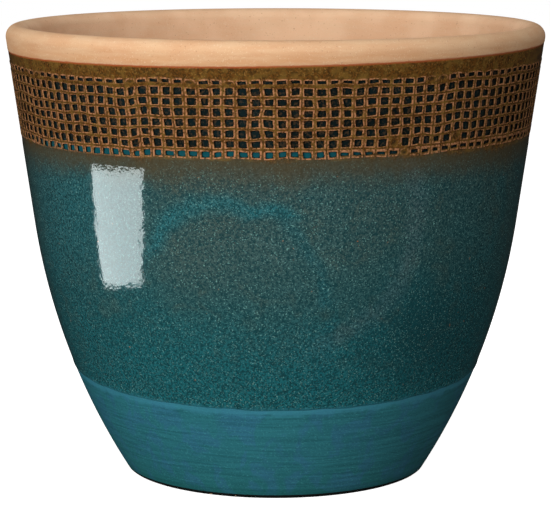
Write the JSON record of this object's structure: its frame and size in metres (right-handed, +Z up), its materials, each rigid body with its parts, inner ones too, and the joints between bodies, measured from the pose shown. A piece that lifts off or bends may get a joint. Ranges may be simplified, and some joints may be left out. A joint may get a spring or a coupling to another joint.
{
  "type": "glazed terracotta pot",
  "caption": "Open round plant pot of fired clay with a flared wall, a band of pressed pits, fused coats of glaze, a foot ring and a drain hole.",
  "frame": {"origin": "middle of the foot, on the surface that the pot stands on", "axes": "+Z up along the pot's axis; -Y is the front"},
  "size_m": [0.305, 0.305, 0.2555],
  "materials": {
    "bare_terracotta": "bare fired clay, matt, fine grog",
    "pooled_glaze": "dark pooled gloss glaze",
    "amber_glaze": "amber brown gloss glaze, copper on the raised edges",
    "teal_glaze": "speckled teal gloss glaze",
    "foot_glaze": "satin teal blue glaze, brushed round"
  },
  "bodies": {
    "root": {"clay_body": "bare_terracotta", "pit_glaze": "pooled_glaze", "net_band": "amber_glaze", "belly_glaze": "teal_glaze", "foot_glaze": "foot_glaze"}
  },
  "joints": []
}
